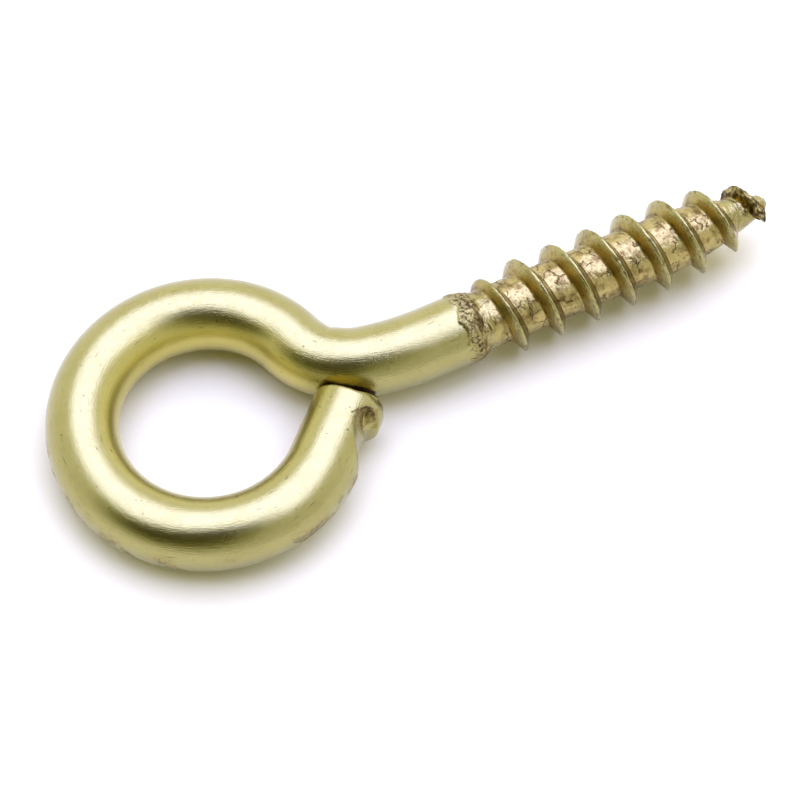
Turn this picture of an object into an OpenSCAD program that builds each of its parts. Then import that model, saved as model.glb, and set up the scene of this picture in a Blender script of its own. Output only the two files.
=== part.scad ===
// Screw eye: one length of round wire with a coarse wood thread rolled on one end
// and the other end bent round into a closed eye.
//
// Millimetres. The origin is the middle of the eye. +X runs along the shank to the tip,
// and +Z is the axis of the eye, which points up as the screw eye lies on a surface.

/* [Wire] */
// Diameter of the wire that everything is formed from
wire_d = 4; // [3.4:0.1:4.4]
// How far each bend draws down the wire's radius
draw_down = 0.02; // [0.015:0.005:0.04]

/* [Eye] */
// Clear width inside the round of the eye
eye_clear_d = 9.6; // [9:0.1:12]
// Centre-line radius of the tighter shoulder that leads off the eye
shoulder_r = 5.95; // [5:0.05:6.5]
// Angle that the shoulder turns through
shoulder_turn = 38; // [28:1:44]

/* [Neck] */
// Centre-line radius of the bend back towards the shank
neck_r = 4.3; // [3.4:0.1:5.5]
// Angle of that bend
neck_turn = 59; // [52:1:66]
// Centre-line radius of the last easy bend into the straight shank
lead_r = 16.3; // [8:0.1:22]
// Angle of the last easy bend
lead_turn = 13; // [6:1:18]

/* [Tail] */
// Angle past the shank's direction where the tail runs off the eye in a straight line
tail_angle = 47; // [42:1:52]
// Clearance between the sheared end and the neck
tail_gap = 0.08; // [0.04:0.01:0.3]
// Distance from the sheared end back to the middle of the nip
nip_back = 1.75; // [1.5:0.05:2]
// Radius of the round nose that made the nip
nip_r = 1.3; // [1:0.05:1.5]
// Depth of the nip
nip_depth = 0.8; // [0.3:0.05:1]
// Angle that the nip leans over from upright
nip_lean = 12; // [0:1:30]

/* [Shank] */
// Distance from the middle of the eye to the end of the plain shank
shank_end = 15.5; // [14.5:0.1:18]
// Length of the burr that the thread rolls pushed up there
burr_l = 0.8; // [0.4:0.1:1.2]
// Height of the burr above the plain shank
burr_h = 0.12; // [0.02:0.01:0.3]

/* [Thread] */
// Length over the eye and the tip
overall_l = 42.8; // [38:0.1:50]
// Diameter of the rolled core between the ridges
core_d = 3.4; // [2.8:0.05:3.6]
// Height of the ridge above the core
ridge_h = 0.8; // [0.5:0.05:1]
// Distance from one turn to the next
pitch = 2.24; // [1.8:0.02:3]
// Width of the ridge where it leaves the core
root_w = 1.05; // [0.8:0.05:1.3]
// Width of the flat along the crest
crest_w = 0.3; // [0.15:0.05:0.5]
// Direction around the shank where the ridge starts, from +Y towards +Z
start_angle = 195; // [0:5:355]
// Turns over which the ridge rises to full height
rise_turns = 0.9; // [0.4:0.1:1.5]
// Length over which the core narrows to the tip
point_l = 7; // [5:0.1:9]
// Diameter of the broken tip
tip_d = 0.9; // [0.5:0.1:1.4]
// Depth of the chips in the last ragged turn
chip_h = 0.22; // [0:0.02:0.3]

/* [Hidden] */
$fn = 72;

brass = [0.74, 0.69, 0.45];
worn = [0.78, 0.68, 0.50];

wire_r = wire_d / 2;
core_r = core_d / 2;
tip_r = tip_d / 2;
eye_r = (eye_clear_d + wire_d) / 2;
tip_x = overall_l - eye_r - wire_r;

// Each stretch of wire runs this far into the next
lap = 0.05;

// The wire's centre line: arcs that meet end to end with one tangent
eye_to = 90 - neck_turn - lead_turn + shoulder_turn;
shoulder_to = eye_to - shoulder_turn;
neck_to = 270 - lead_turn;
shoulder_c = (eye_r - shoulder_r) * heading(eye_to);
neck_c = shoulder_c + (shoulder_r + neck_r) * heading(shoulder_to);
lead_c = neck_c - (lead_r - neck_r) * heading(neck_to);
shank_y = lead_c.y - lead_r;

// The tail stops where its inner corner comes up to the neck's underside
tail_from = (eye_r - wire_r) * heading(-tail_angle) - neck_c;
tail_run = tail_from * heading(90 - tail_angle);
tail_reach = neck_r + wire_r + tail_gap;
tail_l = -tail_run - sqrt(tail_run ^ 2 - tail_from * tail_from + tail_reach ^ 2);

// The ridge starts just past the burr, sunk into the core, and runs out low at the tip
ridge_steps = 36;
ridge_bite = 0.25;
ridge_from = shank_end + 0.1;
rise_end = 0.8;
end_share = 0.4;
ridge_turns = (tip_x - crest_w - root_w / 2 - ridge_from) / pitch;
point_steps = 8;

// Chips come from two waves that never line up
ragged_turns = 1;
chip_waves = 2.5;
nick_waves = 5.8;
nick_share = 0.4;

function heading(a) = [cos(a), sin(a)];

// Core radius at distance x along the shank, narrowing in a quarter sine to the tip
function core_at(x) =
    let (q = min(1, (tip_x - x) / point_l))
    tip_r + (core_r - tip_r) * sin(90 * q);

// Share of its full height that the ridge has after t turns, starting and ending low
function ridge_share(t) =
    min(1, t / rise_turns, end_share + (ridge_turns - t) * pitch / rise_end);

// Depth chipped out of the crest after t turns, none before the last ragged turns
function chip(t) =
    t < ridge_turns - ragged_turns ? 0 :
    chip_h * abs(sin(360 * chip_waves * t)) * (1 - nick_share + nick_share * sin(360 * nick_waves * t));

// One cross-section of the ridge after t turns: root, crest, crest, root
function ridge_section(t) =
    let (
        x = ridge_from + pitch * t,
        turn = heading(start_angle + 360 * t),
        root = core_at(x) - ridge_bite,
        crest = core_at(x) + ridge_h * ridge_share(t) - chip(t),
        spread = (root_w - crest_w) / 2 * (ridge_share(t) + ridge_bite / ridge_h),
        half = crest_w / 2,
        shape = [
            [-half - spread, root], [-half, crest],
            [half, crest], [half + spread, root]
        ]
    )
    [for (p = shape) [x + p.x, p.y * turn.x, p.y * turn.y]];

// A bent stretch of wire about centre c, from one angle to another, drawn down by some bends
module bend(c, r, from, to, bends) {
    lap_turn = lap / r * 180 / PI;
    translate([c.x, c.y, 0])
        rotate([0, 0, from - lap_turn])
            rotate_extrude(angle = to - from + 2 * lap_turn)
                translate([r, 0])
                    circle(r = wire_r - bends * draw_down);
}

// The eye and the S-shaped neck that brings it back over the shank's line
module eye_and_neck() {
    bend([0, 0], eye_r, eye_to, 360 - tail_angle, 0);
    bend(shoulder_c, shoulder_r, shoulder_to, eye_to, 1);
    bend(neck_c, neck_r, shoulder_to + 180, neck_to, 2);
    bend(lead_c, lead_r, neck_to, 270, 1);
}

// The straight tail with its flat sheared end and the nip behind it
module tail() {
    nip_out = wire_r - nip_depth + nip_r;
    translate(concat(eye_r * heading(-tail_angle), 0))
        rotate([-90, 0, -tail_angle])
            difference() {
                translate([0, 0, -lap])
                    cylinder(r = wire_r - draw_down, h = tail_l + lap);
                rotate([90, 0, -nip_lean])
                    translate([nip_out, tail_l - nip_back, 0])
                        cylinder(r = nip_r, h = 3 * wire_d, center = true);
            }
}

// Plain shank, burr, rolled core and narrowing point, turned as one profile
module blank() {
    profile = [
        [0, lead_c.x], [wire_r, lead_c.x], [wire_r, shank_end - burr_l],
        [wire_r + burr_h, shank_end - burr_l / 2], [wire_r, shank_end],
        [core_r, shank_end + (wire_r - core_r)],
        for (i = [0:point_steps])
            let (x = tip_x - point_l * (1 - i / point_steps)) [core_at(x), x],
        [0, tip_x]
    ];
    translate([0, shank_y, 0])
        rotate([90, 0, 90])
            rotate_extrude()
                polygon(profile);
}

// The thread's ridge, wound right-handed from the burr to the tip
module ridge() {
    sections = floor(ridge_turns * ridge_steps);
    points = [for (i = [0:sections]) each ridge_section(i * ridge_turns / sections)];
    sides = [
        for (i = [0:sections - 1], k = [0:3])
            let (a = 4 * i + k, b = 4 * i + (k + 1) % 4)
            each [[a, b, b + 4], [a, b + 4, a + 4]]
    ];
    last = 4 * sections;
    ends = [[0, 3, 2, 1], [last, last + 1, last + 2, last + 3]];
    translate([0, shank_y, 0])
        polyhedron(points, concat(sides, ends), convexity = 10);
}

module screw_eye() {
    color(brass) {
        tail();
        eye_and_neck();
    }
    color(worn) {
        blank();
        ridge();
    }
}

screw_eye();
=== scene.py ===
"""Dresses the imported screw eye: the formed wire, its rolled thread, its plating and its studio."""

import logging
import math
from dataclasses import dataclass, field
from enum import Enum

import bmesh
import bpy
import mathutils
import numpy as np
from mathutils import Matrix, Vector


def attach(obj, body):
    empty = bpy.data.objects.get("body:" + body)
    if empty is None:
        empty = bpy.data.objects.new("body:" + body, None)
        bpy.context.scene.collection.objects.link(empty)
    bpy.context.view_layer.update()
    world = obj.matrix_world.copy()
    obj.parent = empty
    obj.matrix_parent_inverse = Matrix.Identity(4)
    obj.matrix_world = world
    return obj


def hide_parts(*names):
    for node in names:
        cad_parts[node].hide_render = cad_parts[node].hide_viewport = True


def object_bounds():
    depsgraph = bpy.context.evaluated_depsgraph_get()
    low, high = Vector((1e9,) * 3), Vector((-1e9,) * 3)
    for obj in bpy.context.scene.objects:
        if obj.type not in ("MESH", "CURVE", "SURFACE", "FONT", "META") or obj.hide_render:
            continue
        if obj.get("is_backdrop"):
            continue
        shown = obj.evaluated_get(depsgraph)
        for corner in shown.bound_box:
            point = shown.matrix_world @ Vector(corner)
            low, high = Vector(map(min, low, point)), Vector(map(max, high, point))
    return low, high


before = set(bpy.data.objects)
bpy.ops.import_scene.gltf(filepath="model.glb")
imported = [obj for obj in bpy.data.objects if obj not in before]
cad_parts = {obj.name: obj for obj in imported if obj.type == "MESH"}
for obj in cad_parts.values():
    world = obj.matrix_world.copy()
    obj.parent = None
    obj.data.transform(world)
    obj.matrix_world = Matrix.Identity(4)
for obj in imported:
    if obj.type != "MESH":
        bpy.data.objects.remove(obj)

CAD_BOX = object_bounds()
MM = 0.001
LOG = logging.getLogger("screw_eye")


# ---------------------------------------------------------------- small helpers


def linear(hex_colour: str) -> tuple[float, float, float, float]:
    """Turns an sRGB hex colour into linear red, green, blue and alpha.

    Args:
        hex_colour: six hex digits, such as "c8b27a".

    Returns:
        The linear colour, with an alpha of one.
    """
    parts = [int(hex_colour[i : i + 2], 16) / 255 for i in (0, 2, 4)]
    red, green, blue = (
        p / 12.92 if p <= 0.04045 else ((p + 0.055) / 1.055) ** 2.4 for p in parts
    )
    return red, green, blue, 1.0


def smooth(
    low: float | np.ndarray, high: float | np.ndarray, x: float | np.ndarray
) -> np.ndarray:
    """Returns a soft step from 0 at low to 1 at high."""
    t = np.clip((x - low) / (high - low), 0.0, 1.0)
    return t * t * (3 - 2 * t)


def heading(degrees: float) -> np.ndarray:
    """Returns the unit vector in the wire's plane at that angle."""
    a = math.radians(degrees)
    return np.array([math.cos(a), math.sin(a)])


class Nodes:
    """A node tree that is built in the script."""

    def __init__(self, tree: bpy.types.NodeTree) -> None:
        """Empties the tree."""
        self.tree = tree
        tree.nodes.clear()

    def add(
        self, kind: str, inputs: dict | None = None, out: int | str = 0, **settings: object
    ) -> "Term":
        """Adds a node with its settings and its links or values.

        Args:
            kind: the node's type name.
            inputs: socket name or number to a value or a term.
            out: the name or number of the output that is wanted.
            settings: the node's own properties.

        Returns:
            That output of the new node.
        """
        node = self.tree.nodes.new(kind)
        for name, value in settings.items():
            setattr(node, name, value)
        for key, value in (inputs or {}).items():
            if isinstance(value, Term):
                self.tree.links.new(value.socket, node.inputs[key])
            else:
                node.inputs[key].default_value = value
        return Term(self, node.outputs[out] if len(node.outputs) else None)


class Term:
    """An output in a node tree, which takes part in formulas as a number does."""

    def __init__(self, nodes: Nodes, socket: bpy.types.NodeSocket | None) -> None:
        """Keeps the output and its tree."""
        self.nodes = nodes
        self.socket = socket

    def other(self, name: int | str) -> "Term":
        """Returns another output of the same node."""
        return Term(self.nodes, self.socket.node.outputs[name])

    def __add__(self, other: "Term | float") -> "Term":
        """Returns the sum."""
        return self.nodes.add("ShaderNodeMath", {0: self, 1: other}, operation="ADD")

    def __sub__(self, other: "Term | float") -> "Term":
        """Returns the difference."""
        return self.nodes.add("ShaderNodeMath", {0: self, 1: other}, operation="SUBTRACT")

    def __rsub__(self, other: float) -> "Term":
        """Returns a number less this term."""
        return self.nodes.add("ShaderNodeMath", {0: other, 1: self}, operation="SUBTRACT")

    def __mul__(self, other: "Term | float") -> "Term":
        """Returns the product."""
        return self.nodes.add("ShaderNodeMath", {0: self, 1: other}, operation="MULTIPLY")

    def __rmul__(self, other: float) -> "Term":
        """Returns the product with a number."""
        return self * other

    def __truediv__(self, other: "Term | float") -> "Term":
        """Returns the quotient."""
        return self.nodes.add("ShaderNodeMath", {0: self, 1: other}, operation="DIVIDE")

    def __matmul__(self, way: Vector) -> "Term":
        """Returns the dot product with a direction."""
        return self.nodes.add(
            "ShaderNodeVectorMath", {0: self, 1: way}, "Value", operation="DOT_PRODUCT"
        )

    def __and__(self, other: "Term | float") -> "Term":
        """Returns the smaller of the two."""
        return self.nodes.add("ShaderNodeMath", {0: self, 1: other}, operation="MINIMUM")

    def __or__(self, other: "Term | float") -> "Term":
        """Returns the larger of the two."""
        return self.nodes.add("ShaderNodeMath", {0: self, 1: other}, operation="MAXIMUM")

    def __lt__(self, other: "Term | float") -> "Term":
        """Returns 1 where this term is less and 0 elsewhere."""
        return self.nodes.add("ShaderNodeMath", {0: self, 1: other}, operation="LESS_THAN")

    def __gt__(self, other: "Term | float") -> "Term":
        """Returns 1 where this term is greater and 0 elsewhere."""
        return self.nodes.add("ShaderNodeMath", {0: self, 1: other}, operation="GREATER_THAN")

    def __abs__(self) -> "Term":
        """Returns the size without its sign."""
        return self.nodes.add("ShaderNodeMath", {0: self}, operation="ABSOLUTE")

    def __round__(self) -> "Term":
        """Returns the nearest whole number."""
        return self.nodes.add("ShaderNodeMath", {0: self}, operation="ROUND")


# ---------------------------------------------------------------- the wire's line


@dataclass
class WireLine:
    """The centre line of the bent wire, in millimetres, from the sheared end to the tip."""

    wire_r: float = 2.0
    eye_r: float = 6.8
    shoulder_r: float = 5.95
    shoulder_turn: float = 38.0
    neck_r: float = 4.3
    neck_turn: float = 59.0
    lead_r: float = 16.3
    lead_turn: float = 13.0
    tail_angle: float = 47.0
    tail_gap: float = 0.08
    overall_l: float = 42.8

    def __post_init__(self) -> None:
        """Works out the centres and lengths of the stretches."""
        self.eye_to = 90 - self.neck_turn - self.lead_turn + self.shoulder_turn
        self.shoulder_to = self.eye_to - self.shoulder_turn
        self.neck_to = 270 - self.lead_turn
        self.shoulder_c = (self.eye_r - self.shoulder_r) * heading(self.eye_to)
        self.neck_c = self.shoulder_c + (self.shoulder_r + self.neck_r) * heading(
            self.shoulder_to
        )
        self.lead_c = self.neck_c - (self.lead_r - self.neck_r) * heading(self.neck_to)
        self.shank_y = float(self.lead_c[1] - self.lead_r)
        self.tip_x = self.overall_l - self.eye_r - self.wire_r
        inner = (self.eye_r - self.wire_r) * heading(-self.tail_angle) - self.neck_c
        run = float(inner @ heading(90 - self.tail_angle))
        reach = self.neck_r + self.wire_r + self.tail_gap
        self.tail_l = -run - math.sqrt(run**2 - float(inner @ inner) + reach**2)
        # Where the tail, eye, shoulder, neck, lead-in and shank start along the line, and the tip
        self.marks = np.cumsum(
            [
                0.0,
                self.tail_l,
                math.radians(360 - self.tail_angle - self.eye_to) * self.eye_r,
                math.radians(self.shoulder_turn) * self.shoulder_r,
                math.radians(self.neck_turn) * self.neck_r,
                math.radians(self.lead_turn) * self.lead_r,
                self.tip_x - float(self.lead_c[0]),
            ]
        )

    def to_x(self, x: float) -> float:
        """Returns the length along the line at which the straight shank passes x."""
        return float(self.marks[5] + x - self.lead_c[0])

    def at(self, s: np.ndarray) -> tuple[np.ndarray, np.ndarray]:
        """Finds points on the line and the sideways direction there.

        Args:
            s: lengths along the line from the sheared end.

        Returns:
            The points and the unit vectors to the left of the direction of travel.
        """
        m = self.marks
        point, left = np.zeros((len(s), 2)), np.zeros((len(s), 2))

        def arc(i: int, c: np.ndarray, r: float, start: float, sign: int) -> None:
            """Places the points of one bend.

            Args:
                i: the bend's number among the stretches.
                c: its centre.
                r: its radius.
                start: the direction from the centre to its first point, in degrees.
                sign: 1 for a bend to the left and -1 for one to the right.
            """
            sel = (s >= m[i]) & (s <= m[i + 1])
            a = math.radians(start) + sign * (s[sel] - m[i]) / r
            out = np.stack([np.cos(a), np.sin(a)], 1)
            point[sel] = c + r * out
            left[sel] = -sign * out

        tail_dir = heading(90 - self.tail_angle)
        sel = s <= m[1]
        point[sel] = (
            self.eye_r * heading(-self.tail_angle)
            + (m[1] - s[sel])[:, None] * tail_dir[None]
        )
        left[sel] = [tail_dir[1], -tail_dir[0]]
        arc(1, np.zeros(2), self.eye_r, -self.tail_angle, -1)
        arc(2, self.shoulder_c, self.shoulder_r, self.eye_to, -1)
        arc(3, self.neck_c, self.neck_r, self.shoulder_to + 180, 1)
        arc(4, self.lead_c, self.lead_r, self.neck_to, 1)
        sel = s > m[5]
        point[sel] = np.stack(
            [self.lead_c[0] + s[sel] - m[5], np.full(sel.sum(), self.shank_y)], 1
        )
        left[sel] = [0.0, 1.0]
        return point, left

    def stations(self, steps: list[tuple[float, float]]) -> np.ndarray:
        """Spaces the rings of the wire's skin along the line.

        Args:
            steps: pairs of a length along the line and the ring spacing up to it.

        Returns:
            The lengths at which the rings stand.
        """
        out, done = [0.0], 0.0
        for end, step in steps:
            n = max(1, round((end - done) / step))
            out += list(np.linspace(done, end, n + 1)[1:])
            done = end
        return np.array(out)


# ---------------------------------------------------------------- geometry node trees


class Tree(Nodes):
    """A geometry node tree with named inputs."""

    def __init__(self, name: str, sizes: dict[str, float]) -> None:
        """Makes the tree and its sockets.

        Args:
            name: the tree's name.
            sizes: each named size and its value.
        """
        super().__init__(bpy.data.node_groups.new(name, "GeometryNodeTree"))
        face = self.tree.interface
        face.new_socket("Geometry", in_out="INPUT", socket_type="NodeSocketGeometry")
        self.sizes = dict(sizes)
        for size in sizes:
            face.new_socket(size, in_out="INPUT", socket_type="NodeSocketFloat")
        face.new_socket("Finish", in_out="INPUT", socket_type="NodeSocketMaterial")
        face.new_socket("Geometry", in_out="OUTPUT", socket_type="NodeSocketGeometry")
        self.source = self.add("NodeGroupInput")

    def __getitem__(self, name: str) -> Term:
        """Returns one of the named inputs."""
        return self.source.other(name)

    def close(self, geometry: Term) -> None:
        """Ends the tree in Realize Instances and Set Material.

        Args:
            geometry: what the tree has made.
        """
        real = self.add("GeometryNodeRealizeInstances", {"Geometry": geometry})
        made = self.add(
            "GeometryNodeSetMaterial", {"Geometry": real, "Material": self["Finish"]}
        )
        self.add("NodeGroupOutput", {"Geometry": made})

    def apply(
        self, piece: bpy.types.Object, finish: bpy.types.Material
    ) -> bpy.types.Object:
        """Runs the tree on a piece and keeps the result as its plain mesh.

        Args:
            piece: the object whose mesh goes in.
            finish: the material that the tree sets.

        Returns:
            The same object, with its new mesh and no modifier.
        """
        modifier = piece.modifiers.new(self.tree.name, "NODES")
        modifier.node_group = self.tree
        for item in self.tree.interface.items_tree:
            if item.in_out == "INPUT" and item.name in self.sizes:
                modifier[item.identifier] = float(self.sizes[item.name])
            if item.in_out == "INPUT" and item.name == "Finish":
                modifier[item.identifier] = finish
        graph = bpy.context.evaluated_depsgraph_get()
        made = bpy.data.meshes.new_from_object(
            piece.evaluated_get(graph), depsgraph=graph
        )
        piece.modifiers.clear()
        piece.data = made
        return piece


@dataclass
class DrawnWire:
    """Sweeps the round wire along its line as a plain skin of rings."""

    line: WireLine
    round_facets: int = 96

    def build(self, stations: np.ndarray, finish: bpy.types.Material) -> bpy.types.Object:
        """Makes the swept skin, open at both ends.

        Args:
            stations: lengths along the line at which rings stand.
            finish: the material of the skin.

        Returns:
            The object, with a point attribute `along` in millimetres.
        """
        point, _ = self.line.at(stations)
        mesh = bpy.data.meshes.new("screw_eye_wire")
        rows = [(p[0] * MM, p[1] * MM, 0.0) for p in point]
        mesh.from_pydata(rows, [(i, i + 1) for i in range(len(rows) - 1)], [])
        along = mesh.attributes.new("along", "FLOAT", "POINT")
        along.data.foreach_set("value", stations.astype(np.float32))
        piece = bpy.data.objects.new("screw_eye_wire", mesh)
        bpy.context.scene.collection.objects.link(piece)
        sweep = Tree(
            "drawn_wire", {"Wire radius": self.line.wire_r * MM, "Round facets": self.round_facets}
        )
        curve = sweep.add("GeometryNodeMeshToCurve", {"Mesh": sweep["Geometry"]})
        upright = sweep.add("GeometryNodeSetCurveNormal", {"Curve": curve}, mode="Z_UP")
        facets = sweep.add("FunctionNodeFloatToInt", {0: sweep["Round facets"]})
        profile = sweep.add(
            "GeometryNodeCurvePrimitiveCircle",
            {"Resolution": facets, "Radius": sweep["Wire radius"]},
        )
        skin = sweep.add("GeometryNodeCurveToMesh", {"Curve": upright, "Profile Curve": profile})
        sweep.close(sweep.add("GeometryNodeSetShadeSmooth", {"Geometry": skin}))
        return sweep.apply(piece, finish)


@dataclass
class RolledThread:
    """The right-hand wood thread: a narrowed core with one ridge wound round it."""

    line: WireLine
    shank_end: float = 15.5
    core_d: float = 3.4
    ridge_h: float = 0.8
    pitch: float = 2.24
    root_w: float = 1.05
    crest_w: float = 0.12
    last_x: float = 33.66
    start_angle: float = 195.0
    rise_turns: float = 0.9
    point_l: float = 7.0
    tip_d: float = 0.9
    ridge_lead: float = 0.1
    rise_end: float = 0.8
    end_share: float = 0.4
    # How far past its last turn the ridge still counts
    end_slack: float = 0.02

    def turns(self) -> float:
        """Returns how many turns the ridge makes."""
        return (self.last_x - self.shank_end - self.ridge_lead) / self.pitch

    def roll(self, piece: bpy.types.Object, finish: bpy.types.Material) -> bpy.types.Object:
        """Narrows the wire past the shank and raises the ridge on it.

        Args:
            piece: the swept wire.
            finish: the material of the skin.

        Returns:
            The piece, with point attributes `ridge`, from 0 on the core to 1 on the crest,
            and `turn`, the turns made since the ridge began.
        """
        t = Tree(
            "rolled_thread",
            {
                "Axis y": self.line.shank_y,
                "Shank end": self.shank_end,
                "Ridge from": self.shank_end + self.ridge_lead,
                "Core radius": self.core_d / 2,
                "Wire radius": self.line.wire_r,
                "Ridge height": self.ridge_h,
                "Pitch": self.pitch,
                "Root width": self.root_w,
                "Crest width": self.crest_w,
                "Start turn": self.start_angle / 360,
                "Rise turns": self.rise_turns,
                "Turns": self.turns(),
                "End share": self.end_share,
                "Rise end": self.rise_end,
                "Point length": self.point_l,
                "Tip radius": self.tip_d / 2,
                "Tip x": self.line.tip_x,
            },
        )
        place = t.add("ShaderNodeSeparateXYZ", {0: t.add("GeometryNodeInputPosition")})
        x = place * (1 / MM)
        y = place.other(1) * (1 / MM) - t["Axis y"]
        z = place.other(2) * (1 / MM)
        # Turns from the start of the ridge at this direction, and the nearest crest
        psi = t.add("ShaderNodeMath", {0: z, 1: y}, operation="ARCTAN2") / (2 * math.pi)
        phase = t.add("ShaderNodeMath", {0: psi - t["Start turn"]}, operation="FRACT")
        run = (x - t["Ridge from"]) / t["Pitch"]
        turn = round(run - phase) + phase
        off = abs((run - turn) * t["Pitch"])
        # The share of its full height that the ridge has here, low at both ends
        left = (t["Turns"] - turn) * t["Pitch"]
        fade = t["End share"] + left / t["Rise end"]
        share = turn / t["Rise turns"] & fade & 1.0 | 0.0
        share = share * (left > -self.end_slack)
        half, flank = t["Crest width"] * 0.5, (t["Root width"] - t["Crest width"]) * 0.5
        lift = share - ((off - half) / flank | 0.0) | 0.0
        # The core narrows in a quarter sine to the tip
        q = (t["Tip x"] - x) / t["Point length"] | 0.0
        swell = t.add("ShaderNodeMath", {0: (q & 1.0) * (math.pi / 2)}, operation="SINE")
        core = t["Tip radius"] + (t["Core radius"] - t["Tip radius"]) * swell
        # From the plain shank down to the core
        fall = t["Wire radius"] - t["Core radius"]
        step = (fall - (x - t["Shank end"]) | 0.0) & fall
        radius = core + step + lift * t["Ridge height"]
        ratio = radius / t.add("ShaderNodeMath", {0: y * y + z * z}, operation="SQRT")
        moved = t.add(
            "ShaderNodeCombineXYZ",
            {0: place, 1: (y * ratio + t["Axis y"]) * MM, 2: z * ratio * MM},
        )
        here = x > t["Shank end"]
        kept = t.add(
            "GeometryNodeSetPosition",
            {"Geometry": t["Geometry"], "Selection": here, "Position": moved},
        )
        for name, value in (("ridge", lift), ("turn", turn)):
            kept = t.add(
                "GeometryNodeStoreNamedAttribute",
                {"Geometry": kept, "Name": name, "Value": value * here},
                data_type="FLOAT",
                domain="POINT",
            )
        t.close(kept)
        return t.apply(piece, finish)


# ---------------------------------------------------------------- finishes


class Mark(Enum):
    """What making and wear left on the wire's skin, and the painted shade, sheen and glow laid on
    it.
    """

    WORN = "worn"
    STAIN_AND_SHADE = "stain_and_shade"
    GILT_AND_GLOW = "gilt_and_glow"
    PAINTED_SHEEN = "painted_sheen"
    CRUMB = "crumb"


@dataclass(frozen=True)
class Edge:
    """A soft edge of a pattern, from where it starts to where it is full."""

    low: float
    high: float

    def step(self, value: Term) -> Term:
        """Returns 0 where the value is below the edge and 1 where it is above."""
        return value.nodes.add(
            "ShaderNodeMapRange",
            {"Value": value, "From Min": self.low, "From Max": self.high},
            interpolation_type="SMOOTHSTEP",
        )


@dataclass(frozen=True)
class Mottle:
    """An uneven natural pattern: the size of its lumps in millimetres and the edge of patches."""

    size: float
    detail: float = 2.0
    edge: Edge | None = None

    def lay(self, place: Term) -> Term:
        """Lays the pattern over the wire.

        Args:
            place: the coordinates that it follows, in millimetres.

        Returns:
            Its lumps, from 0 to 1, or its patches where it has an edge.
        """
        lumps = place.nodes.add(
            "ShaderNodeTexNoise",
            {"Vector": place, "Scale": 1 / self.size, "Detail": self.detail, "Roughness": 0.6},
        )
        return self.edge.step(lumps) if self.edge else lumps


@dataclass(frozen=True)
class Cracks:
    """A broken net of dark lines: its cells, the width of a line, and what breaks it."""

    size: float
    width: float
    kept: Mottle
    sway: float = 0.45

    def lay(self, place: Term) -> Term:
        """Lays the cracks over the wire.

        Args:
            place: the coordinates that they follow, in millimetres.

        Returns:
            One on the lines and 0 off them.
        """
        add = place.nodes.add
        turned = add("ShaderNodeTexNoise", {"Vector": place, "Scale": 2 / self.size}, "Color")
        bent = add(
            "ShaderNodeVectorMath",
            {0: turned, 1: (self.sway,) * 3, 2: place},
            operation="MULTIPLY_ADD",
        )
        edge = add(
            "ShaderNodeTexVoronoi",
            {"Vector": bent, "Scale": 1 / self.size},
            "Distance",
            feature="DISTANCE_TO_EDGE",
        )
        return (1.0 - Edge(0.0, self.width / self.size).step(edge)) * self.kept.lay(place)


@dataclass(frozen=True)
class Specks:
    """Scattered ragged dots: their spacing, the largest one's radius, and how rare they are."""

    size: float
    reach: float
    rare: float
    rag: Mottle = Mottle(0.05, 2.0, Edge(0.3, 0.6))

    def lay(self, place: Term) -> Term:
        """Lays the specks over the wire.

        Args:
            place: the coordinates that they follow, in millimetres.

        Returns:
            One in the dots and 0 outside them.
        """
        add = place.nodes.add
        cell = add("ShaderNodeTexVoronoi", {"Vector": place, "Scale": 1 / self.size}, "Distance")
        pick = add("ShaderNodeSeparateColor", {0: cell.other("Color")})
        wide = Edge(self.rare, 1.0).step(pick) * (self.reach / self.size)
        return cell < wide * self.rag.lay(place)


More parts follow.
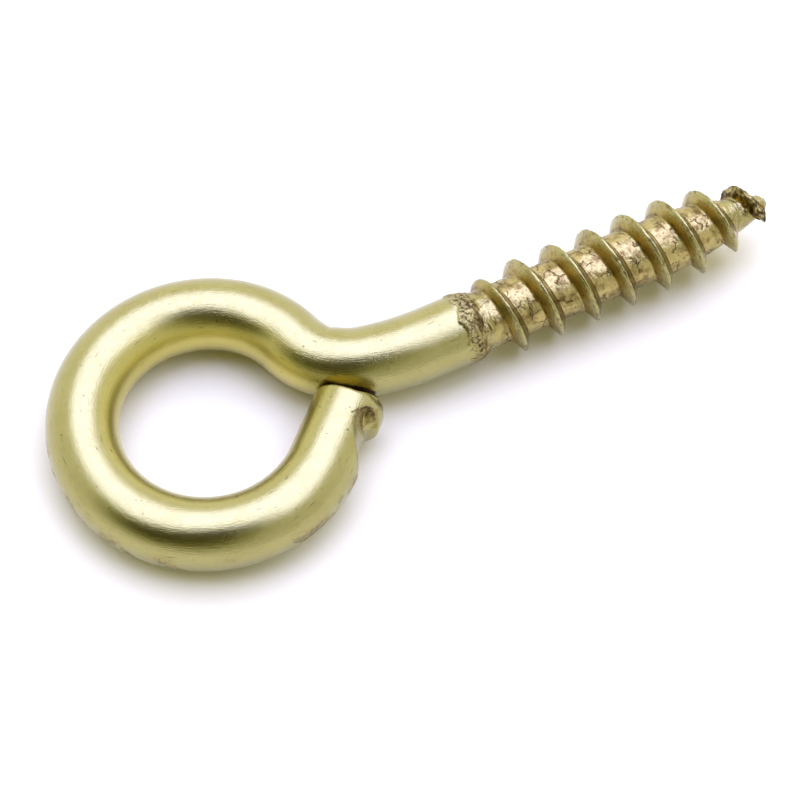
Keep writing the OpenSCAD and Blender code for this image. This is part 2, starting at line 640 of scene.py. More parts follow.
@dataclass(frozen=True)
class PlatedWire:
    """Low-carbon steel wire, barrel-plated with brass under clear lacquer.

    The plating makes it satin, with fine lengthwise lines where the wire was drawn. Rolling
    wore it to beige in the thread. Painted sheen lightens the inside of the eye and the cut
    face, and the neck above the slit gets a painted glow.
    """

    name: str = "satin_brass_plate"
    brass: str = "a09a60"
    brass_deep: str = "9b9459"
    core: str = "b0a066"
    core_dull: str = "78643a"
    # Deep gold of the thread's roots, the cut and the ragged last turn, also painted glow above the
    # slit
    gilt_and_glow: str = "a08018"
    # Colour of the painted sheen inside the eye and on the cut face, and of the painted glow above
    # the slit
    painted_sheen: str = "c4b85a"
    # Dark brown of stains, scratches, specks and cracks, also painted shade in the slit and on the
    # crests
    scale: str = "32200c"
    roughness: float = 0.215
    core_roughness: float = 0.3
    lacquer: float = 0.52
    # How far the patterns that run lengthwise are drawn out
    drawn_out: float = 0.12
    # Slow drift and fine mottling of the plate, and where its two tones meet
    drift: Mottle = Mottle(1.6, 2.0)
    fleck: Mottle = Mottle(0.25, 4.0)
    tones: Edge = Edge(0.42, 0.62)
    dull: Mottle = Mottle(0.7, 3.0, Edge(0.42, 0.66))
    thin: Mottle = Mottle(0.3, 4.0, Edge(0.2, 0.55))
    # Hairline scratches, the patches that have them, and two kinds of brown specks
    hair: Mottle = Mottle(0.11, 1.0, Edge(0.66, 0.73))
    hair_patch: Mottle = Mottle(2.1, 2.0, Edge(0.5, 0.62))
    coarse_specks: Specks = Specks(0.7, 0.1, 0.55)
    fine_specks: Specks = Specks(0.3, 0.05, 0.7)
    # The rolled core is cracked and pitted, and the burr is crumbs with dark gaps
    cracks: Cracks = Cracks(0.75, 0.06, Mottle(0.975, 2.0, Edge(0.5, 0.56)))
    pits: Mottle = Mottle(0.15, 3.0, Edge(0.6, 0.68))
    clods: Mottle = Mottle(0.2, 4.0)
    gaps: Edge = Edge(0.4, 0.47)
    # Relief: grain of the plating, waves of the lacquer, drawing lines and the rough core.
    # The grain and the lines are coarser than the real ones, which are too fine to show
    grain: Mottle = Mottle(0.065, 1.0)
    peel: Mottle = Mottle(0.6, 1.0)
    lines: Mottle = Mottle(0.07, 2.0)
    rough_face: Mottle = Mottle(0.35, 3.0)
    handled: Mottle = Mottle(0.9, 3.0)
    # How dark each mark is where it is full
    hair_dark: float = 0.55
    specks_dark: float = 0.65
    cracks_dark: float = 0.8
    pits_dark: float = 0.45
    gaps_dark: float = 0.85
    # The relief in millimetres, and how many times that each pattern stands up or goes down
    relief: float = 0.02
    relief_shown: float = 0.6
    grain_up: float = 0.8
    peel_up: float = 0.12
    lines_up: float = 0.7
    core_up: float = 3.0
    clods_up: float = 9.0
    marks_down: float = 1.5
    # How much rougher handling, dark marks, the gilt and the painted sheen make it
    handled_rough: float = 0.04
    dark_rough: float = 0.2
    gilt_and_sheen_rough: float = 0.12
    lacquer_roughness: float = 0.25

    def build(self) -> bpy.types.Material:
        """Makes the material.

        Returns:
            The material, which reads the skin's marks and its attribute `straight`.
        """
        material = bpy.data.materials.new(self.name)
        material.use_nodes = True
        add = Nodes(material.node_tree).add

        # Millimetres, and the wire's own lengthwise coordinates for what drawing left
        place = add("ShaderNodeTexCoord", out="Object")
        mm = add("ShaderNodeVectorMath", {0: place, 3: 1 / MM}, operation="SCALE")
        straight = add("ShaderNodeAttribute", out="Vector", attribute_name="straight")
        along = add("ShaderNodeMapping", {"Vector": straight, "Scale": (1.0, 1.0, self.drawn_out)})
        worn, stain_and_shade, gilt_and_glow, painted_sheen, crumb = (
            add("ShaderNodeAttribute", out="Fac", attribute_name=kind.value) for kind in Mark
        )

        # Dark scratches, specks, cracks, pits and the gaps between crumbs
        hair = self.hair.lay(along) * (self.hair_patch.lay(mm) * self.hair_dark)
        specks = (self.coarse_specks.lay(mm) | self.fine_specks.lay(mm)) * self.specks_dark
        cracks = self.cracks.lay(mm) * worn * self.cracks_dark
        pits = self.pits.lay(mm) * worn * self.pits_dark
        clods = self.clods.lay(mm)
        gaps = (1.0 - self.gaps.step(clods)) * crumb * self.gaps_dark
        old = cracks | pits | gaps
        dark = hair | specks | old | stain_and_shade

        # Each colour covers its share of the ones before it
        bare = add(
            "ShaderNodeMix",
            {0: self.dull.lay(mm), 6: linear(self.core), 7: linear(self.core_dull)},
            2,
            data_type="RGBA",
        )
        skin: Term | tuple[float, float, float, float] = linear(self.brass)
        tone = self.drift.lay(mm) * 0.5 + self.fleck.lay(mm) * 0.5
        for share, colour in (
            (self.tones.step(tone), linear(self.brass_deep)),
            (worn * self.thin.lay(mm), bare),
            # The painted sheen and glow, the gilt, then the dark marks with the painted shade
            (painted_sheen, linear(self.painted_sheen)),
            (gilt_and_glow, linear(self.gilt_and_glow)),
            (dark, linear(self.scale)),
        ):
            skin = add("ShaderNodeMix", {0: share, 6: skin, 7: colour}, 2, data_type="RGBA")

        # Satin: the grain of the plating breaks the edges of reflections
        height = self.grain.lay(mm) * self.grain_up + self.peel.lay(mm) * self.peel_up
        height = height + self.lines.lay(along) * self.lines_up
        height = height + self.rough_face.lay(mm) * (worn * self.core_up)
        height = height + clods * (crumb * self.clods_up) - old * self.marks_down
        bump = add(
            "ShaderNodeBump",
            {"Strength": self.relief_shown, "Distance": self.relief * MM, "Height": height},
        )
        rough = self.handled.lay(mm) * self.handled_rough
        rough = rough + (self.roughness - self.handled_rough / 2)
        rough = rough + worn * (self.core_roughness - self.roughness)
        rough = rough + dark * self.dark_rough + (gilt_and_glow | painted_sheen) * self.gilt_and_sheen_rough
        # The lacquer is gone wherever the plate is marked
        lacquer = (1.0 - (worn | dark | gilt_and_glow)) * self.lacquer
        shader = add(
            "ShaderNodeBsdfPrincipled",
            {
                "Base Color": skin,
                "Metallic": 1.0,
                "Roughness": rough,
                "Normal": bump,
                "Coat Weight": lacquer,
                "Coat Roughness": self.lacquer_roughness,
                "Coat Normal": bump,
            },
        )
        add("ShaderNodeOutputMaterial", {"Surface": shader})
        return material


@dataclass(frozen=True)
class SweepPaper:
    """Matt white paper that the screw eye lies on."""

    name: str = "matt_white_paper"
    white: str = "efebc8"

    def build(self) -> bpy.types.Material:
        """Makes the material.

        Returns:
            The material, of one plain colour.
        """
        material = bpy.data.materials.new(self.name)
        material.use_nodes = True
        nodes = Nodes(material.node_tree)
        shader = nodes.add("ShaderNodeBsdfDiffuse", {"Color": linear(self.white)})
        nodes.add("ShaderNodeOutputMaterial", {"Surface": shader})
        return material


# ---------------------------------------------------------------- marks of the tools


def crumple(points: np.ndarray, size: float, seed: float, octaves: int = 3) -> np.ndarray:
    """Returns a rough noise from -1 to 1 at each point.

    Args:
        points: places in millimetres.
        size: the size of the lumps in millimetres.
        seed: shifts the pattern.
        octaves: how many finer layers it has.

    Returns:
        One value for each point.
    """
    shift = Vector((seed, seed, seed))
    fractal = mathutils.noise.fractal
    # Each layer is 2.1 times as fine as the one before, and nearly half as strong
    return np.array([fractal(Vector(p) / size + shift, 0.9, 2.1, octaves) for p in points])


@dataclass
class Skin:
    """The points of the wire's skin in the wire's own section, in millimetres.

    s runs along the line, angle goes round it from outwards towards +Z, and rho is the
    distance from the line. spot is the place before any mark is made, ridge and turn are the
    thread's, and push moves a point within the wire's plane.
    """

    s: np.ndarray
    angle: np.ndarray
    rho: np.ndarray
    spot: np.ndarray
    ridge: np.ndarray
    turn: np.ndarray

    def __post_init__(self) -> None:
        """Starts with a skin that nothing has marked."""
        self.deg = np.degrees(self.angle)
        self.x = self.spot[:, 0]
        self.push = np.zeros((len(self.s), 2))
        self.marks = {kind: np.zeros(len(self.s)) for kind in Mark}

    def lumps(self, on: np.ndarray, size: float, seed: float, octaves: int) -> np.ndarray:
        """Makes a rough noise.

        Args:
            on: the points that get it.
            size: the size of the lumps in millimetres.
            seed: shifts the pattern.
            octaves: how many finer layers it has.

        Returns:
            A value from -1 to 1 at those points, and 0 elsewhere.
        """
        out = np.zeros(len(self.s))
        out[on] = crumple(self.spot[on], size, seed, octaves)
        return out


@dataclass
class Nip:
    """The bite that the bending tool left on the outside of the tail."""

    line: WireLine
    # The main facet: depth, the degrees that it faces at first and last, and where it has turned
    depth: float = 0.73
    side_first: float = -8.0
    side_last: float = 17.0
    side_l: float = 2.3
    # The lower facet: depth and the degrees that it faces
    under: float = 0.56
    under_side: float = -16.0
    # How far into the round of the eye the bite starts, and the length over which it deepens
    lead: float = 0.1
    ramp_l: float = 1.05
    # How far from its middle a facet can reach round the wire, in radians
    facet_reach: float = 1.15
    # Round the wire in degrees: where the wall towards the lobe stands, and half its run
    wall_deg: tuple[float, ...] = (-60.0, 4.0, 19.0, 32.0, 41.0, 52.0, 62.0, 70.0)
    wall_at: tuple[float, ...] = (2.62, 2.66, 2.85, 3.08, 3.2, 3.12, 2.88, 2.5)
    wall_run: tuple[float, ...] = (0.15, 0.17, 0.42, 0.36, 0.14, 0.1, 0.1, 0.1)
    # The dark lip high on the wall: width, depth and last degrees, and the width in degrees of
    # the line scored along the bite's upper edge
    lip_w: float = 0.06
    lip_in: float = 0.07
    lip_to_deg: float = 72.0
    score_deg: float = 2.5

    def facet(self, skin: Skin, depth: np.ndarray, side: np.ndarray | float) -> np.ndarray:
        """Returns how deep a flat facet cuts below the round of the wire.

        Args:
            skin: the wire's skin.
            depth: the facet's depth in its middle.
            side: the direction, in degrees, that it faces.

        Returns:
            The depth at each point.
        """
        off = np.radians(skin.deg - side)
        flat = (self.line.wire_r - depth) / np.cos(np.clip(off, -1.2, 1.2))
        return np.clip(self.line.wire_r - flat, 0, None) * (np.abs(off) < self.facet_reach)

    def form(self, skin: Skin) -> None:
        """Bites the two facets out of the wire, and marks the lip and the scored edge.

        Args:
            skin: the wire's skin, which is changed.
        """
        t = self.line.tail_l - skin.s
        lean = smooth(0.0, self.side_l, t)
        side = self.side_first + (self.side_last - self.side_first) * lean
        ramp = 1 - np.exp(-np.clip(t + self.lead, 0, None) / self.ramp_l)
        bite = self.facet(skin, self.depth * ramp, side)
        under = self.facet(skin, self.under * ramp, self.under_side)
        bite = (bite**4 + under**4) ** 0.25 * (t > -self.lead)
        wall_t = np.interp(skin.deg, self.wall_deg, self.wall_at)
        run = np.interp(skin.deg, self.wall_deg, self.wall_run)
        bite *= 1 - smooth(0.0, 1.0, (t - wall_t + run) / (2 * run))
        near = skin.s < self.line.tail_l + 1
        wave = 0.04 * skin.lumps(near, size=0.5, seed=5.1, octaves=3)
        cut = np.clip(bite / 0.15, 0, 1)
        rise = smooth(wall_t - 1.5, wall_t - 0.5, t) * smooth(-5, 30, skin.deg)
        crumb = skin.lumps(near, size=0.14, seed=4.4, octaves=3)
        skin.marks[Mark.WORN] += cut * rise * 0.75
        lip_off = t - (wall_t + 0.5 * run - self.lip_in) + 2 * wave
        lip = np.exp(-((lip_off / self.lip_w) ** 2)) * smooth(14, 24, skin.deg)
        lip = lip * (skin.deg < self.lip_to_deg)
        skin.marks[Mark.STAIN_AND_SHADE] += lip * smooth(-0.4, 0.1, crumb) * 0.85
        spotted = smooth(0.15, 0.5, crumb) * smooth(20, 40, skin.deg)
        skin.marks[Mark.STAIN_AND_SHADE] += cut * rise * spotted * 0.12
        edge = side + np.degrees(np.arccos(1 - self.depth * ramp / self.line.wire_r))
        score = np.exp(-(((skin.deg - edge) / self.score_deg + 30 * wave) ** 2))
        score = score * smooth(-self.lead, self.lead, t)
        skin.marks[Mark.STAIN_AND_SHADE] += score * (t < wall_t) * smooth(-0.35, 0.2, crumb) * 0.5
        skin.rho = skin.rho - bite * (1 + 0.5 * wave)


@dataclass
class ShearedEnd:
    """The flat sheared face of the tail, with painted shadow in the slit between it and the neck."""

    line: WireLine
    # How far the outer side is pushed out, and over what length
    bulge: float = 0.36
    reach: float = 1.3
    # Radius of the rolled edge, on the inner and on the outer side
    edge_in: float = 0.14
    edge_out: float = 0.45
    # How high on the neck the painted shadow in the slit reaches, for places across the tail
    slit_at: tuple[float, ...] = (-2.0, -1.0, 0.0, 0.6, 0.95, 1.3)
    slit_z: tuple[float, ...] = (1.1, 1.0, 0.85, 0.6, 0.25, -2.0)
    # How far above the slit the painted glow fades
    glow: float = 0.45
    # How far below the wire's round a point still counts as on it
    rind: float = 0.002
    # Points nearer than this to the cut belong to its flat face
    cap_l: float = 0.001

    def form(self, skin: Skin) -> None:
        """Rounds the edge of the cut, pushes its outer side out, paints shadow into the slit and a
        glow above it.

        Args:
            skin: the wire's skin, which is changed.
        """
        s, rho, r = skin.s, skin.rho, self.line.wire_r
        u = rho * np.cos(skin.angle)
        edge = self.edge_in + (self.edge_out - self.edge_in) * smooth(0.2, 1.7, u)
        drop = edge - np.sqrt(np.clip(edge**2 - (edge - s) ** 2, 0, None))
        rim = np.clip((rho - (r - edge)) / edge, 0, 1)
        cap = s < self.cap_l
        side = (rho > r - self.rind) & (s > self.cap_l)
        rho = np.where((s < edge) & side, rho - drop, rho)
        skin.rho = np.where(cap, np.minimum(rho, r - edge * (0.2 + 0.8 * rim) * rim), rho)
        out = smooth(0.3, 1.4, u) * self.bulge * np.clip(1 - s / self.reach, 0, 1) ** 1.5
        along = heading(90 - self.line.tail_angle)
        skin.push += np.where(s < self.reach, out, 0)[:, None] * along[None]
        # Painted sheen and some gilt lighten the cut face, so that the neck's reflection of it glows
        skin.marks[Mark.PAINTED_SHEEN] += cap * 0.7
        skin.marks[Mark.GILT_AND_GLOW] += cap * (1 - smooth(0.5, 1.3, u)) * 0.35

        # The neck's side of the slit, seen in the tail's own frame
        m = self.line.marks
        on = (s > m[3] - 1) & (s < m[5])
        start = self.line.eye_r * heading(-self.line.tail_angle)
        aside = (skin.spot[:, :2] - start) @ np.array([along[1], -along[0]])
        inside = 1 - smooth(r - 0.25, r + 0.1, np.hypot(aside, skin.spot[:, 2]))
        wave = 0.05 * skin.lumps(on, size=0.4, seed=2.2, octaves=3)
        shut = on * inside * (np.cos(skin.angle) < 0.2)
        above = skin.spot[:, 2] + wave - np.interp(aside, self.slit_at, self.slit_z)
        below = smooth(-1.2, -0.7, above)
        # Painted shadow darkens the neck inside the slit, and a painted glow lightens it just above
        skin.marks[Mark.STAIN_AND_SHADE] += shut * below * (1 - smooth(-0.05, 0.04, above))
        skin.marks[Mark.PAINTED_SHEEN] += shut * (1 - smooth(0.1, self.glow, above)) * 0.95
        skin.marks[Mark.GILT_AND_GLOW] += shut * (1 - smooth(0.0, self.glow, above)) * 0.2


@dataclass
class NeckCrease:
    """The sharp crease on the inside of the neck's bend, towards the shoulder."""

    line: WireLine
    depth: float = 0.17
    # Its place past the start of the neck's bend, and how fast it fades before and past that
    place: float = 2.05
    slow: float = 0.9
    quick: float = 0.3

    def form(self, skin: Skin) -> None:
        """Presses the crease.

        Args:
            skin: the wire's skin, which is changed.
        """
        off = skin.s - self.line.marks[3] - self.place
        near = np.exp(-np.abs(off) / np.where(off < 0, self.slow, self.quick))
        skin.rho = skin.rho - self.depth * near * np.clip(np.cos(skin.angle), 0, 1) ** 2


@dataclass
class PaintedEyeSheen:
    """Painted sheen: the inside of the eye is lightened, standing in for its reflection of the lit
    table.
    """

    line: WireLine
    share: float = 0.8

    def form(self, skin: Skin) -> None:
        """Paints the sheen on the inner side.

        Args:
            skin: the wire's skin, which is changed.
        """
        inward = smooth(0.3, 0.95, -np.cos(skin.angle))
        inward = inward * (1 - smooth(self.line.marks[3] + 0.5, self.line.marks[4], skin.s))
        skin.marks[Mark.PAINTED_SHEEN] += inward * self.share


@dataclass
class RimScuffs:
    """Brown scuffs where the eye's outer rim has rubbed through its plating."""

    line: WireLine
    # The middle of the rubbed side and its spread, in degrees round the wire
    side: float = -6.0
    spread: float = 19.0
    # The most rubbed place, from the start of the eye's round, and its length
    worst: float = 3.3
    worst_l: float = 1.4
    depth: float = 0.03

    def form(self, skin: Skin) -> None:
        """Marks the scuffs and roughens them.

        Args:
            skin: the wire's skin, which is changed.
        """
        m = self.line.marks
        on = (skin.s > m[1] - 1) & (skin.s < m[3])
        near = np.exp(-(((skin.deg - self.side) / self.spread) ** 2)) * on
        worst = np.exp(-(((skin.s - m[1] - self.worst) / self.worst_l) ** 2))
        patch = skin.lumps(on, size=1.1, seed=7.7, octaves=3)
        clod = skin.lumps(on, size=0.4, seed=2.9, octaves=2)
        rub = near * smooth(0.05, 0.4, patch + 0.7 * worst)
        skin.marks[Mark.WORN] += rub * 0.75
        skin.marks[Mark.STAIN_AND_SHADE] += rub * 0.15
        skin.marks[Mark.CRUMB] += rub * 0.75
        skin.rho = skin.rho - rub * self.depth * np.clip(0.5 + clod, 0, 1)


@dataclass
class RollBurr:
    """The crumbly burr that the thread rolls pushed up at the end of the plain shank."""

    line: WireLine
    start: float = 14.55
    end: float = 15.95
    height: float = 0.02
    rough: float = 0.1
    # How far the burr's edges wander, and from before to past its end, the fall to the core
    wander: float = 0.25
    fall_from: float = 0.8
    fall_to: float = 0.2

    def form(self, skin: Skin) -> None:
        """Raises the burr and darkens the gaps in it.

        Args:
            skin: the wire's skin, which is changed.
        """
        x = skin.x
        on = (x > self.start - 0.5) & (x < self.end + 0.4) & (skin.s > self.line.marks[4])
        ragged = self.wander * skin.lumps(on, size=0.7, seed=8.3, octaves=2)
        share = smooth(self.start, self.start + 0.25, x + ragged) * on
        share = share * (1 - smooth(self.end - 0.35, self.end, x + ragged))
        flake = skin.lumps(on, size=0.28, seed=3.7, octaves=3)
        clod = skin.lumps(on, size=0.42, seed=6.4, octaves=2)
        thread = RolledThread(self.line)
        fall = self.line.wire_r - thread.core_d / 2
        sharp = np.clip(fall - (x - thread.shank_end), 0, fall)
        low, high = self.end - self.fall_from, self.end + self.fall_to
        soft = fall * (1 - smooth(low, high, x + 0.35 * clod))
        skin.rho = skin.rho + on * (soft - sharp)
        skin.marks[Mark.STAIN_AND_SHADE] += share * smooth(0.2, 0.5, -flake - 0.25 * clod) * 0.5
        skin.marks[Mark.CRUMB] += share
        skin.marks[Mark.WORN] += share * 0.55
        skin.rho = skin.rho + share * (self.height + self.rough * (0.7 * flake + 0.6 * clod))


@dataclass
class WornThread:
    """The rough rolled core, the nicked crests and the ragged brown last turn."""

    line: WireLine
    # Heights of the core's lumps, the nicks in the crest and the torn last turn
    core_rough: float = 0.04
    crest_nick: float = 0.07
    rag: float = 0.3
    # The last turn is ragged over this share of a turn, and only past this place
    ragged_from: float = 0.78
    ragged_x: float = 31.9
    # Where the wear of the core comes in past the burr, and where it fades at the tip
    fresh_x: tuple[float, float] = (15.8, 17.2)
    plated_x: tuple[float, float] = (30.5, 32.0)
    # The side of the thread that lost its deep gold, in degrees round the wire
    dry_deg: float = 35.0
    dry_spread: float = 32.0
    # Length of the broken tip, and how much narrower it ends
    blunt_l: float = 0.35
    blunt: float = 0.45

    def form(self, skin: Skin) -> None:
        """Roughens the thread and marks where its plating is worn or thick.

        Args:
            skin: the wire's skin, which is changed.
        """
        thread = RolledThread(self.line)
        on = (skin.x > thread.shank_end - thread.ridge_lead) & (skin.s > self.line.marks[5])
        coarse = skin.lumps(on, size=0.55, seed=1.3, octaves=3)
        fine = skin.lumps(on, size=0.18, seed=9.1, octaves=3)
        chunk = skin.lumps(on, size=0.42, seed=4.8, octaves=2)
        ridge = skin.ridge
        core = (1 - smooth(0.0, 0.12, ridge)) * on
        crest = smooth(0.6, 0.95, ridge) * on
        run = (skin.x - thread.shank_end - thread.ridge_lead) / thread.pitch
        tip_side = (run > skin.turn) & on
        root = smooth(0.02, 0.12, ridge) * (1 - smooth(0.3, 0.85, ridge)) * on
        last = smooth(0, 0.06, skin.turn - thread.turns() + self.ragged_from + 0.08 * coarse)
        ragged = last * (skin.x > self.ragged_x) * on * smooth(0.02, 0.25, ridge)
        fresh = 1 - smooth(*self.fresh_x, skin.x)
        plated = smooth(*self.plated_x, skin.x)
        skin.marks[Mark.WORN] += core * (1 - 0.45 * fresh - 0.6 * plated)
        skin.marks[Mark.WORN] += on * smooth(0.4, 0.8, ridge) * smooth(-0.2, 0.5, coarse) * 0.6
        dry = np.exp(-(((skin.deg - self.dry_deg) / self.dry_spread) ** 2))
        foot = smooth(0.0, 0.06, ridge) * (1 - smooth(0.12, 0.32, ridge)) * on
        skin.marks[Mark.GILT_AND_GLOW] += root * (0.7 + 0.3 * coarse) * (1 - 0.75 * dry)
        skin.marks[Mark.WORN] += root * dry * 0.6
        skin.marks[Mark.STAIN_AND_SHADE] += root * smooth(0.3, 0.7, fine + 0.5 * coarse) * 0.4
        skin.marks[Mark.STAIN_AND_SHADE] += foot * np.clip(0.35 + 0.6 * coarse, 0, 1)
        # Painted shade: a dark band along the tip side of each crest
        line = np.exp(-(((ridge - 0.8) / 0.14) ** 2)) * tip_side
        skin.marks[Mark.STAIN_AND_SHADE] += line * (0.45 + 0.5 * fine)
        skin.marks[Mark.STAIN_AND_SHADE] += crest * smooth(0.35, 0.6, fine) * 0.7
        skin.marks[Mark.STAIN_AND_SHADE] += ragged * smooth(-0.5, 0.15, chunk + 0.35 * fine) * 0.85
        skin.marks[Mark.GILT_AND_GLOW] += ragged * 0.3
        rho = skin.rho + core * self.core_rough * (0.7 * coarse + 0.5 * fine)
        rho = rho - crest * self.crest_nick * np.clip(0.3 + 0.8 * fine + 0.5 * coarse, 0, 1)
        # The very end is broken off round, not square
        blunt = smooth(self.line.tip_x - self.blunt_l, self.line.tip_x, skin.x) * on
        rho = rho * (1 - self.blunt * blunt**2)
        skin.rho = rho + ragged * self.rag * (0.7 * chunk + 0.2 * fine - 0.2)


# ---------------------------------------------------------------- the piece


@dataclass
class ScrewEye:
    """The whole screw eye as one skin."""

    line: WireLine = field(default_factory=WireLine)
    # Ring spacings: at the cut, in the nip, round the eye, in the neck and in the thread
    cut_step: float = 0.045
    nip_step: float = 0.065
    eye_step: float = 0.17
    neck_step: float = 0.12
    thread_step: float = 0.046
    # Length of fine rings at the cut and past the nip, and where those of the thread start
    cut_l: float = 0.6
    thread_from: float = 14.3
    # Shares of the radius at which the rings that close an end stand
    end_rings: tuple[float, ...] = (0.97, 0.9, 0.8, 0.65, 0.5, 0.35, 0.2)
    # The stretch of the line and the degrees round it in which the nip's cells are halved
    fine_s: tuple[float, float] = (0.3, 4.4)
    fine_deg: tuple[float, float] = (-75.0, 85.0)
    # The stretch in which new points are put back on the round of the wire
    round_s: tuple[float, float] = (0.01, 5.0)
    # How far inside the CAD box every point stays, in millimetres
    box_in: float = 1e-4

    def build(self) -> bpy.types.Object:
        """Makes the piece and dresses it.

        Returns:
            The finished piece, given over to the frame.
        """
        finish = PlatedWire().build()
        m = self.line.marks
        stations = self.line.stations(
            [
                (self.cut_l, self.cut_step),
                (m[1] + self.cut_l, self.nip_step),
                (m[2], self.eye_step),
                (m[5], self.neck_step),
                (self.line.to_x(self.thread_from), self.neck_step),
                (m[6], self.thread_step),
            ]
        )
        piece = DrawnWire(self.line).build(stations, finish)
        RolledThread(self.line).roll(piece, finish)
        self.close_ends(piece)
        self.refine(piece)
        self.shape(piece)
        piece.name = piece.data.name = "screw_eye_wire"
        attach(piece, "root")
        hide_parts("screw_eye")
        LOG.info("%s: %d faces", piece.name, len(piece.data.polygons))
        return piece

    def close_ends(self, piece: bpy.types.Object) -> None:
        """Closes the sheared end and the tip with rings that shrink to the middle.

        Args:
            piece: the swept wire, which is changed.
        """
        work = bmesh.new()
        work.from_mesh(piece.data)
        along = work.verts.layers.float["along"]
        for loop in self.open_loops(work):
            rim = list(dict.fromkeys(v for e in loop for v in e.verts))
            centre = sum((v.co for v in rim), Vector()) / len(rim)
            reach = sum((v.co - centre).length for v in rim) / len(rim)
            station, edges = rim[0][along], loop
            for share in self.end_rings:
                made = bmesh.ops.extrude_edge_only(work, edges=edges)["geom"]
                for v in made:
                    if isinstance(v, bmesh.types.BMVert):
                        v.co = centre + (v.co - centre).normalized() * reach * share
                        v[along] = station
                edges = [g for g in made if isinstance(g, bmesh.types.BMEdge)]
            bmesh.ops.contextual_create(work, geom=edges)
        bmesh.ops.recalc_face_normals(work, faces=work.faces)
        for face in work.faces:
            face.smooth = True
        work.to_mesh(piece.data)
        work.free()

    def refine(self, piece: bpy.types.Object) -> None:
        """Halves the skin's cells where the nip goes.

        Args:
            piece: the swept wire, which is changed.
        """
        work = bmesh.new()
        work.from_mesh(piece.data)
        along = work.verts.layers.float["along"]
        work.verts.ensure_lookup_table()
        co = np.array([v.co for v in work.verts]) / MM
        s = np.array([v[along] for v in work.verts])
        u, z, _ = self.section(co, s)
        angle = np.degrees(np.arctan2(z, u))
        inside = (s > self.fine_s[0]) & (s < self.fine_s[1])
        inside &= (angle > self.fine_deg[0]) & (angle < self.fine_deg[1])
        edges = [
            e for e in work.edges if inside[e.verts[0].index] and inside[e.verts[1].index]
        ]
        bmesh.ops.subdivide_edges(work, edges=edges, cuts=1, use_grid_fill=True)
        work.to_mesh(piece.data)
        work.free()

    def section(
        self, co: np.ndarray, s: np.ndarray
    ) -> tuple[np.ndarray, np.ndarray, np.ndarray]:
        """Finds where points stand in the wire's own cross-section.

        Args:
            co: points in millimetres.
            s: their lengths along the line.

        Returns:
            The distances outwards and upwards from the line, and the outward directions.
        """
        point, left = self.line.at(s)
        return ((co[:, :2] - point) * left).sum(1), co[:, 2], left

    def shape(self, piece: bpy.types.Object) -> None:
        """Forms what the tools and wear left, from the nip to the torn last turn.

        Args:
            piece: the closed skin, which is changed.
        """
        mesh = piece.data
        count = len(mesh.vertices)
        co = np.zeros(count * 3, np.float32)
        mesh.vertices.foreach_get("co", co)
        co = co.reshape(-1, 3).astype(float) / MM
        read = {}
        for name in ("along", "ridge", "turn"):
            values = np.zeros(count, np.float32)
            mesh.attributes[name].data.foreach_get("value", values)
            read[name] = values.astype(float)
        s = read["along"]
        u, z, left = self.section(co, s)
        # New points between two rings stand on the round of the wire again
        near_tail = (s > self.round_s[0]) & (s < self.round_s[1])
        rho = np.where(near_tail, self.line.wire_r, np.hypot(u, z))
        skin = Skin(s, np.arctan2(z, u), rho, co, read["ridge"], read["turn"])
        forms = (Nip, ShearedEnd, NeckCrease, PaintedEyeSheen, RimScuffs, RollBurr, WornThread)
        for form in forms:
            form(self.line).form(skin)
        u, z = skin.rho * np.cos(skin.angle), skin.rho * np.sin(skin.angle)
        point, _ = self.line.at(s)
        flat = point + left * u[:, None] + skin.push
        low, high = (np.array(c) / MM for c in CAD_BOX)
        made = np.concatenate([flat, z[:, None]], 1)
        made = np.clip(made, low + self.box_in, high - self.box_in)
        mesh.vertices.foreach_set("co", (made * MM).astype(np.float32).ravel())
        for kind, values in skin.marks.items():
            layer = mesh.attributes.new(kind.value, "FLOAT", "POINT")
            layer.data.foreach_set("value", np.clip(values, 0, 1).astype(np.float32))
        layer = mesh.attributes.new("straight", "FLOAT_VECTOR", "POINT")
        layer.data.foreach_set("vector", np.stack([u, z, s], 1).astype(np.float32).ravel())
        mesh.update()

    @staticmethod
    def open_loops(work: bmesh.types.BMesh) -> list[list[bmesh.types.BMEdge]]:
        """Finds the loops of edges that only one face uses, in the same order on every run.

        Args:
            work: the mesh that is searched.

        Returns:
            One list of edges for each open end.
        """
        left = dict.fromkeys(e for e in work.edges if e.is_boundary)
        loops = []
        while left:
            todo, loop = [left.popitem()[0]], []
            while todo:
                edge = todo.pop()
                loop.append(edge)
                for v in edge.verts:
                    for other in v.link_edges:
                        if other in left:
                            del left[other]
                            todo.append(other)
            loops.append(loop)
        return loops


# ---------------------------------------------------------------- the studio


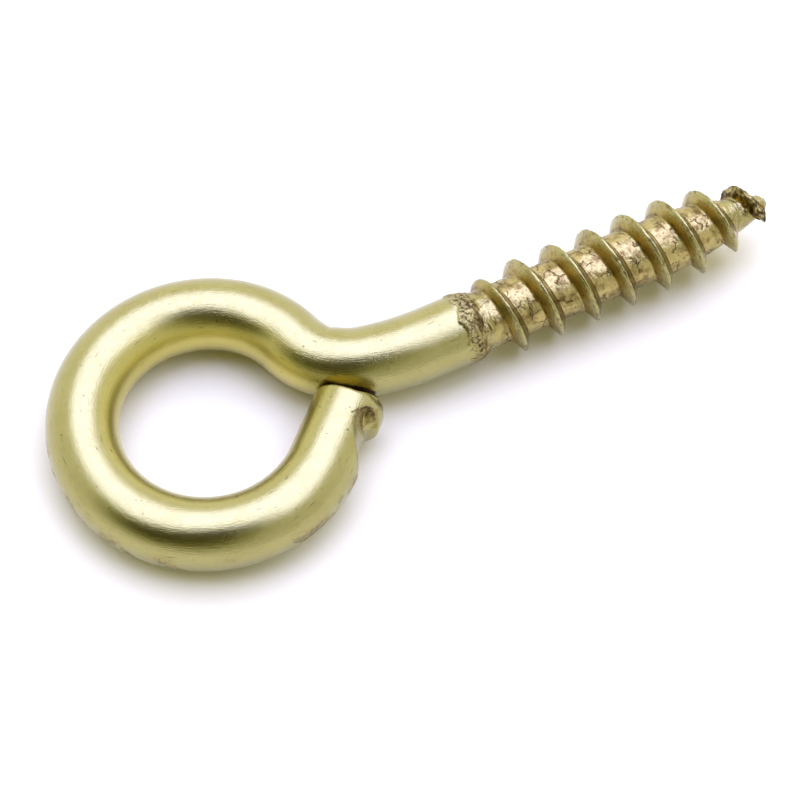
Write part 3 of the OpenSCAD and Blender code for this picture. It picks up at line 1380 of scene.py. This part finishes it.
@dataclass
class Studio:
    """A white table in a light room with a broad overhead softbox and a dark camera side."""

    # The table's slope in degrees, one place that it passes through, and half its width
    tilt: float = 1.14
    touch_x: float = -6.8
    touch_z: float = -2.0
    half: float = 3000.0
    # The camera's turn and tip in degrees, its distance and the place it looks at, in millimetres
    yaw: float = 25.735
    tip: float = 61.065
    far: float = 175.22
    look_x: float = 10.423
    look_y: float = 1.371
    # Pixels to the millimetre at that place, pixels across the picture, and the sensor's width
    scale: float = 18.374
    across: float = 800.0
    sensor: float = 36.0
    room_tone: tuple[float, float, float, float] = (1.18, 1.16, 1.08, 1.0)
    box_tone: tuple[float, float, float, float] = (3.2, 3.28, 6.2, 1.0)
    # How much brighter the room is on the far side, and darker on the near side
    far_gain: float = 0.28
    dark_tone: tuple[float, float, float, float] = (0.08, 0.07, 0.0, 1.0)
    # The dark side is warm: the share of each colour that stays where it is darkest
    warm: tuple[float, float, float, float] = (1.0, 1.0, 0.25, 1.0)
    # Sideways and depthways middle, half size and soft edge of the softbox, for a height of one
    box_x: tuple[float, float, float] = (0.09, 0.68, 0.14)
    box_y: tuple[float, float, float] = (0.33, 0.72, 0.13)
    # The softbox ends where a direction rises no more than this
    lowest: float = 0.05
    # Azimuth from the camera's side, elevation, inner and outer reach, and how dark
    dark_sides: tuple[tuple[float, float, float, float, float], ...] = (
        (-38.0, 40.0, 10.0, 33.0, 0.97),
        (-5.0, 46.0, 12.0, 36.0, 0.88),
        (9.0, 66.0, 12.0, 20.0, 0.99),
    )

    def __post_init__(self) -> None:
        """Works out the level directions to the camera's right and ahead of it."""
        yaw = math.radians(self.yaw)
        self.right = Vector((math.cos(yaw), -math.sin(yaw), 0))
        self.ahead = Vector((math.sin(yaw), math.cos(yaw), 0))

    def floor(self) -> bpy.types.Object:
        """Makes the table, which the eye's far side and the first full ridge touch.

        Returns:
            The table, marked as a backdrop.
        """
        half, slope = self.half, math.tan(math.radians(self.tilt))
        mesh = bpy.data.meshes.new("table")
        corners = [
            (x * MM, y * MM, (self.touch_z - (x - self.touch_x) * slope) * MM)
            for x, y in ((-half, -half), (half, -half), (half, half), (-half, half))
        ]
        mesh.from_pydata(corners, [], [(0, 1, 2, 3)])
        table = bpy.data.objects.new("table", mesh)
        bpy.context.scene.collection.objects.link(table)
        table.data.materials.append(SweepPaper().build())
        table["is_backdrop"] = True
        LOG.info("%s: %d face", table.name, len(mesh.polygons))
        return table

    def room(self) -> None:
        """Fills the room with soft light from above that leaves the camera's side dark."""
        world = bpy.data.worlds.new("room")
        world.use_nodes = True
        add = Nodes(world.node_tree).add
        way = add("ShaderNodeTexCoord", out="Generated")

        # The softbox, as a soft-edged rectangle on a ceiling at a height of one
        up = way @ Vector((0, 0, 1))
        inside = up > self.lowest
        for (middle, half, soft), aim in ((self.box_x, self.right), (self.box_y, self.ahead)):
            off = abs(way @ aim / (up | self.lowest) - middle)
            inside = inside * (1.0 - Edge(half - soft, half + soft).step(off))
        gain = way @ self.ahead * self.far_gain + 1.0
        walls = add("ShaderNodeVectorMath", {0: self.room_tone[:3], 3: gain}, operation="SCALE")
        tone = add("ShaderNodeMix", {0: inside, 6: walls, 7: self.box_tone}, 2, data_type="RGBA")

        # Dark patches on the camera's side take light away
        light: Term | float = 1.0
        for azimuth, elevation, inner, outer, depth in self.dark_sides:
            a, e = math.radians(azimuth - self.yaw), math.radians(elevation)
            aim = Vector((math.sin(a) * math.cos(e), -math.cos(a) * math.cos(e), math.sin(e)))
            near, far = math.cos(math.radians(inner)), math.cos(math.radians(outer))
            light = light * (1.0 - Edge(far, near).step(way @ aim) * depth)
        tone = add("ShaderNodeMix", {0: light, 6: self.dark_tone, 7: tone}, 2, data_type="RGBA")
        # Blue light fades there before the rest
        plain = (1.0, 1.0, 1.0, 1.0)
        warm = add("ShaderNodeMix", {0: light, 6: self.warm, 7: plain}, 2, data_type="RGBA")
        both = {0: 1.0, 6: tone, 7: warm}
        tone = add("ShaderNodeMix", both, 2, data_type="RGBA", blend_type="MULTIPLY")
        back = add("ShaderNodeBackground", {"Color": tone})
        add("ShaderNodeOutputWorld", {"Surface": back})
        bpy.context.scene.world = world

    def camera(self) -> None:
        """Sets the camera."""
        tip = math.radians(self.tip)
        up = self.ahead * math.sin(tip) + Vector((0, 0, math.cos(tip)))
        look = self.ahead * math.cos(tip) - Vector((0, 0, math.sin(tip)))
        place = (self.right * self.look_x + self.ahead * self.look_y - look * self.far) * MM
        data = bpy.data.cameras.new("camera")
        data.lens = self.scale * self.far * self.sensor / self.across
        data.sensor_width = self.sensor
        data.clip_start, data.clip_end = 0.01, 20
        camera = bpy.data.objects.new("camera", data)
        bpy.context.scene.collection.objects.link(camera)
        turn = Matrix((self.right, up, -look)).transposed().to_4x4()
        camera.matrix_world = Matrix.Translation(place) @ turn
        bpy.context.scene.camera = camera

    def build(self) -> None:
        """Makes the whole studio."""
        self.floor()
        self.room()
        self.camera()
        bpy.context.scene.view_settings.view_transform = "Standard"
        LOG.info("studio ready")


def main() -> None:
    """Builds the screw eye and its studio, and works out the boxes of both models."""
    logging.basicConfig(level=logging.INFO, format="%(name)s: %(message)s")
    ScrewEye().build()
    Studio().build()
    boxes = {
        "cad": [list(c) for c in CAD_BOX],
        "visual": [list(c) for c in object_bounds()],
    }


if __name__ == "__main__":
    main()
